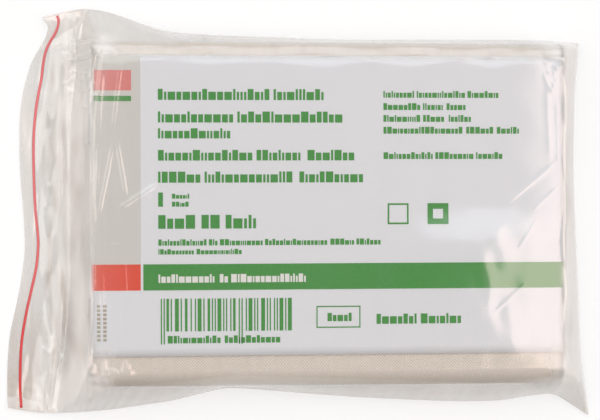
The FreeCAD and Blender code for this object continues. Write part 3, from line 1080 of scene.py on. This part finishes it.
def print_green():
    """Everything in green. Each row of words is (height up the card, its own height, word lengths)."""
    green = Print("green_print", GREEN_INK, INK)
    green.block(COLUMN_WIDTH + 0.6, BAND_LOW, CARD_LENGTH - COLUMN_WIDTH - 0.65, BAND_HIGH - BAND_LOW)
    for low, height, lengths in (
        (57.9, 2.5, (26, 12)), (52.8, 2.5, (17.5, 25)), (49.2, 2.3, (16.8,)),
        (44.2, 2.4, (22, 11, 11.4)), (39.2, 2.5, (9.8, 21.2, 15)), (28.8, 3.1, (8.8, 4.4, 7.7)),
        (25.0, 1.4, (11.2, 2, 10, 14.8, 5.6, 5.7)), (23.0, 1.2, (8.4, 10.5)),
    ):
        green.words(TEXT_LEFT, low, height, lengths, int(low * 10))
    green.block(TEXT_LEFT, 33.8, 1.1, 3.2)
    for low in (35.6, 33.8):
        green.words(18.7, low, 1.1, (4.0,), int(low * 10))
    for low, lengths in ((58.5, (7.3, 11.5, 7.4)), (55.7, (8.8, 5.0, 4.5)), (53.0, (8.8, 5.5, 5.3)),
                         (50.3, (19.1, 6.7, 5.3)), (44.5, (11.7, 9.1, 6.5))):
        green.words(SECOND_LEFT, low, 1.55, lengths, int(low * 10))
    # two plain boxes, one thin and one bold
    for left, line in ((69.3, 0.4), (78.8, 1.3)):
        green.frame(left, 29.6, 5.0, 4.8, line)
    print_stripes(green)
    green.words(17.6, 2.9, 1.7, (12.6, 13.0), 5)
    green.frame(52.4, 6.1, 10.4, 5.0, 0.28)
    green.words(55.0, 7.6, 1.9, (5.7,), 9)
    green.words(66.6, 6.9, 2.3, (9.6, 9.6), 10)
    green.place()


def print_white():
    """Words left bare in the green band."""
    white = Print("white_marks", PAPER_WHITE, INK * 2)
    white.words(TEXT_LEFT, 16.6, 1.9, (13.5, 1.9, 17.5), 33)
    white.place()


def print_worn():
    """Two rows of small worn marks across the card, near its near corner at the mouth."""
    worn = Print("worn_marks", PALE_INK, INK)
    pitch = 0.95
    for left in (1.3, 2.7):
        for k in range(9):
            worn.block(left, 3.5 + pitch * k, 0.8, 0.62)
    worn.place()


# ---------------- floor, lights and camera

def make_floor():
    """A pale table top: white where it is seen, and matt enough to keep the shadow."""
    made, tree = blank("white_table")
    ray = add(tree, "LightPath")
    seen = ray.outputs["Is Camera Ray"]
    for kind in ("Is Glossy Ray", "Is Transmission Ray"):
        seen = add(tree, "Math", {0: seen, 1: ray.outputs[kind]}, operation="MAXIMUM")
    share = add(tree, "Math", {0: seen, 1: 0.62}, operation="MULTIPLY")
    matt = add(tree, "BsdfDiffuse", {"Color": srgb("#f3f3f3")})
    glow = add(tree, "Emission", {"Color": srgb("#ffffff"), "Strength": 1.06})
    mixed = add(tree, "MixShader", {0: share, 1: matt, 2: glow})
    add(tree, "OutputMaterial", {"Surface": mixed})
    half = 3000.0
    floor = piece("table_top", [(-half, -half, 0), (half, -half, 0), (half, half, 0), (-half, half, 0)],
                  [(0, 1, 2, 3)], made, smooth=False)


def make_world():
    """A pale room: white behind the table, and a dimmer light on everything else."""
    world = bpy.data.worlds.new("pale_room")
    bpy.context.scene.world = world
    world.use_nodes = True
    tree = world.node_tree
    tree.nodes.clear()
    ray = add(tree, "LightPath")
    strength = add(tree, "MapRange", {"Value": ray.outputs["Is Camera Ray"], "To Min": 0.33, "To Max": 1.0})
    back = add(tree, "Background", {"Color": srgb("#f9feff"), "Strength": strength})
    add(tree, "OutputWorld", {"Surface": back})


def softbox(name, direction, distance, size, radiance, colour):
    """A softbox that faces the parcel. Size is its level width, then the height of its slope.
    Radiance 1 is as bright as a white table."""
    lamp = bpy.data.lights.new(name, "AREA")
    lamp.shape = "RECTANGLE"
    lamp.size, lamp.size_y = size
    lamp.energy = radiance * math.pi * size[0] * size[1]
    lamp.color = colour
    made = put_in_scene(name, lamp)
    towards = Vector(direction).normalized()
    made.location = towards * distance
    made.rotation_euler = towards.to_track_quat("Z", "Y").to_euler()
    made.visible_camera = False


def make_lights():
    """The right one lays a warm shine on film that slopes down towards the closed end, the far one
    shines on film that leans to the far side, and the left one lights the rest."""
    softbox("right_softbox", (0.59, -0.08, 1.0), 1.3, (0.9, 0.38), 3.3, (1.0, 0.80, 0.74))
    softbox("far_softbox", (0.22, 1.0, 1.5), 1.4, (1.2, 1.2), 1.4, (0.93, 1.0, 1.05))
    softbox("left_softbox", (-0.625, 0.1, 1.0), 1.5, (1.4, 1.56), 1.62, (1.0, 0.925, 0.88))


def make_camera():
    """Above the parcel, tipped 15 degrees towards the mouth, with a long lens. It looks at a point on
    the card a little off the middle of the bag."""
    tilt, distance = math.radians(15), 1.2
    target = Vector((-4.19, 1.21, card_high[2])) * MM
    back = Vector((-math.sin(tilt), 0, math.cos(tilt)))
    right = Vector((math.cos(tilt), 0, math.sin(tilt)))
    up = Vector((0, 1, 0))
    data = bpy.data.cameras.new("camera")
    data.lens = 316.9
    data.sensor_width = 36
    data.clip_end = 20
    made = put_in_scene("camera", data)
    turned = Matrix((right, up, back)).transposed().to_4x4()
    made.matrix_world = Matrix.Translation(target + back * distance) @ turned
    bpy.context.scene.camera = made


make_camera()
make_floor()
make_world()
make_lights()
make_rear_film()
make_cloth()
make_card()
print_blocks()
print_green()
print_white()
print_worn()
make_front_film()
make_seal_rib()
make_seal_groove()
make_red_line()
make_welds()

bpy.context.scene.view_settings.view_transform = "Standard"
